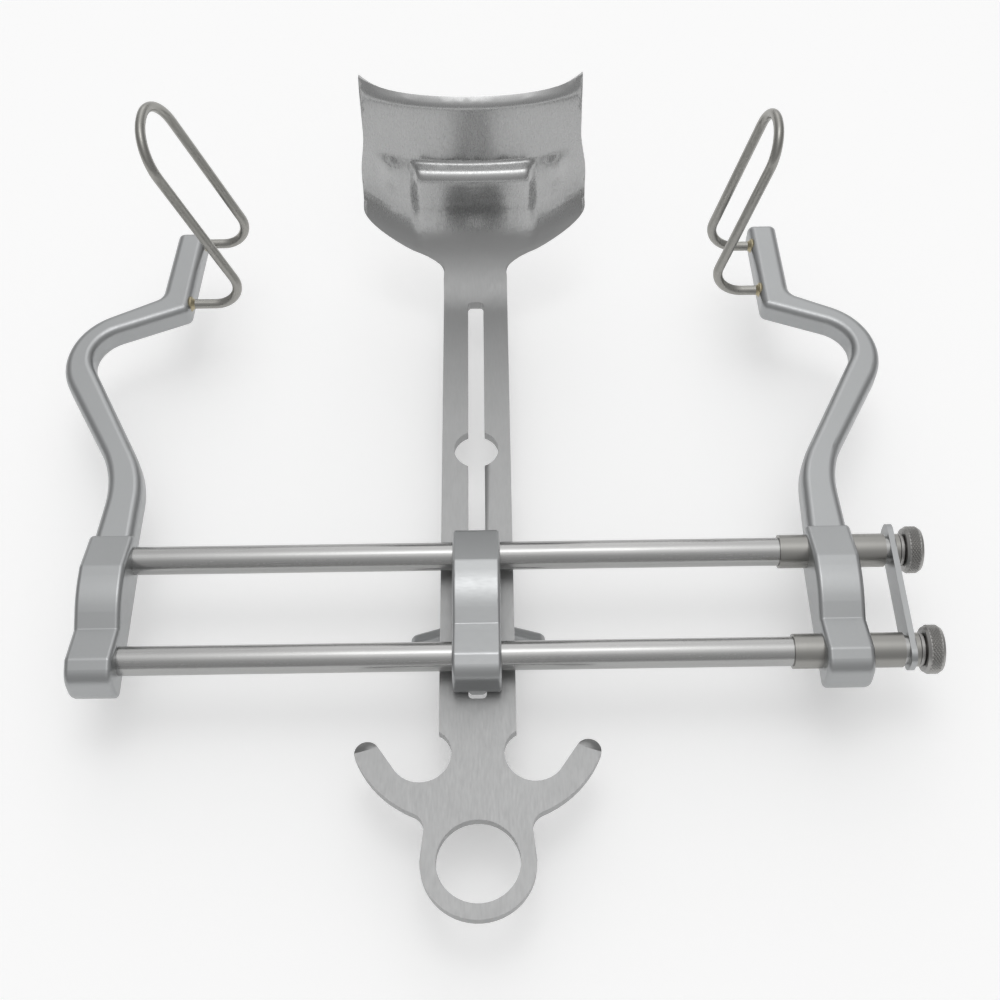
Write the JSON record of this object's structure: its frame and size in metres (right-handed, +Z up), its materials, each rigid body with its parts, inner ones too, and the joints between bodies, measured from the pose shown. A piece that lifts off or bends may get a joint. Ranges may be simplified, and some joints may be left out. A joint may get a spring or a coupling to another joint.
{
  "type": "self retaining abdominal retractor",
  "caption": "Self retaining retractor: two parallel rails, a fixed and a sliding arm with wire side blades, and a centre blade with a finger ring clamped by a wing nut.",
  "frame": {"origin": "bottom centre of the assembled instrument's bounding box, blades up", "axes": "+X along the rails from the fixed arm to the thumb screws, +Y from the finger ring to the centre blade, +Z up along the blades"},
  "size_m": [0.2518, 0.2351, 0.0915],
  "materials": {
    "satin_steel": "satin bead blasted",
    "blade_steel": "satin brushed",
    "wire_steel": "satin drawn wire",
    "rail_steel": "ground round bar",
    "sleeve_steel": "turned satin",
    "knurled_steel": "diamond knurled"
  },
  "bodies": {
    "frame": {"left_arm": "satin_steel", "left_wire_blade": "wire_steel", "far_rail": "rail_steel", "near_rail": "rail_steel", "far_rail_pin": "rail_steel", "near_rail_pin": "rail_steel", "keeper_plate": "satin_steel"},
    "sliding_arm": {"right_arm": "satin_steel", "right_wire_blade": "wire_steel", "far_sleeve": "sleeve_steel", "near_sleeve": "sleeve_steel"},
    "clamp": {"clamp_block": "satin_steel", "clamp_stud": "sleeve_steel"},
    "blade": {"centre_blade": "blade_steel"},
    "nut_washer_body": {"nut_washer": "sleeve_steel"},
    "wing_nut_body": {"wing_nut": "satin_steel"},
    "far_washer_body": {"far_washer": "sleeve_steel"},
    "near_washer_body": {"near_washer": "sleeve_steel"},
    "far_screw_body": {"far_thumb_screw": "knurled_steel"},
    "near_screw_body": {"near_thumb_screw": "knurled_steel"}
  },
  "joints": [
    {"name": "arm_slide", "type": "slide", "parent": "frame", "child": "sliding_arm", "axis": [1, 0, 0], "range_m": [-0.05, 0.0012]},
    {"name": "clamp_slide", "type": "slide", "parent": "frame", "child": "clamp", "axis": [1, 0, 0], "range_m": [-0.042, 0.048]},
    {"name": "blade_slide", "type": "slide", "parent": "clamp", "child": "blade", "axis": [0, 1, 0], "range_m": [-0.088, 0.0022]},
    {"name": "nut_travel", "type": "slide", "parent": "clamp", "child": "nut_washer_body", "axis": [0, 0, 1], "range_m": [-0.002, 0]},
    {"name": "nut_turn", "type": "hinge", "parent": "nut_washer_body", "child": "wing_nut_body", "pos_m": [0.00085, -0.03216, 0.01298], "axis": [0, 0, 1], "range_deg": [-720, 0]},
    {"name": "far_screw_travel", "type": "slide", "parent": "frame", "child": "far_washer_body", "axis": [1, 0, 0], "range_m": [0, 0.0021]},
    {"name": "far_screw_turn", "type": "hinge", "parent": "far_washer_body", "child": "far_screw_body", "pos_m": [0.12045, -0.01637, 0.02698], "axis": [1, 0, 0], "range_deg": [0, 1080]},
    {"name": "near_screw_travel", "type": "slide", "parent": "frame", "child": "near_washer_body", "axis": [1, 0, 0], "range_m": [0, 0.0021]},
    {"name": "near_screw_turn", "type": "hinge", "parent": "near_washer_body", "child": "near_screw_body", "pos_m": [0.12045, -0.04797, 0.02698], "axis": [1, 0, 0], "range_deg": [0, 1080]}
  ],
  "couplings": [
    {"joint": "nut_travel", "follows": "nut_turn", "m_per_rad": 0.00015915},
    {"joint": "far_screw_travel", "follows": "far_screw_turn", "m_per_rad": 0.00011141},
    {"joint": "near_screw_travel", "follows": "near_screw_turn", "m_per_rad": 0.00011141}
  ]
}
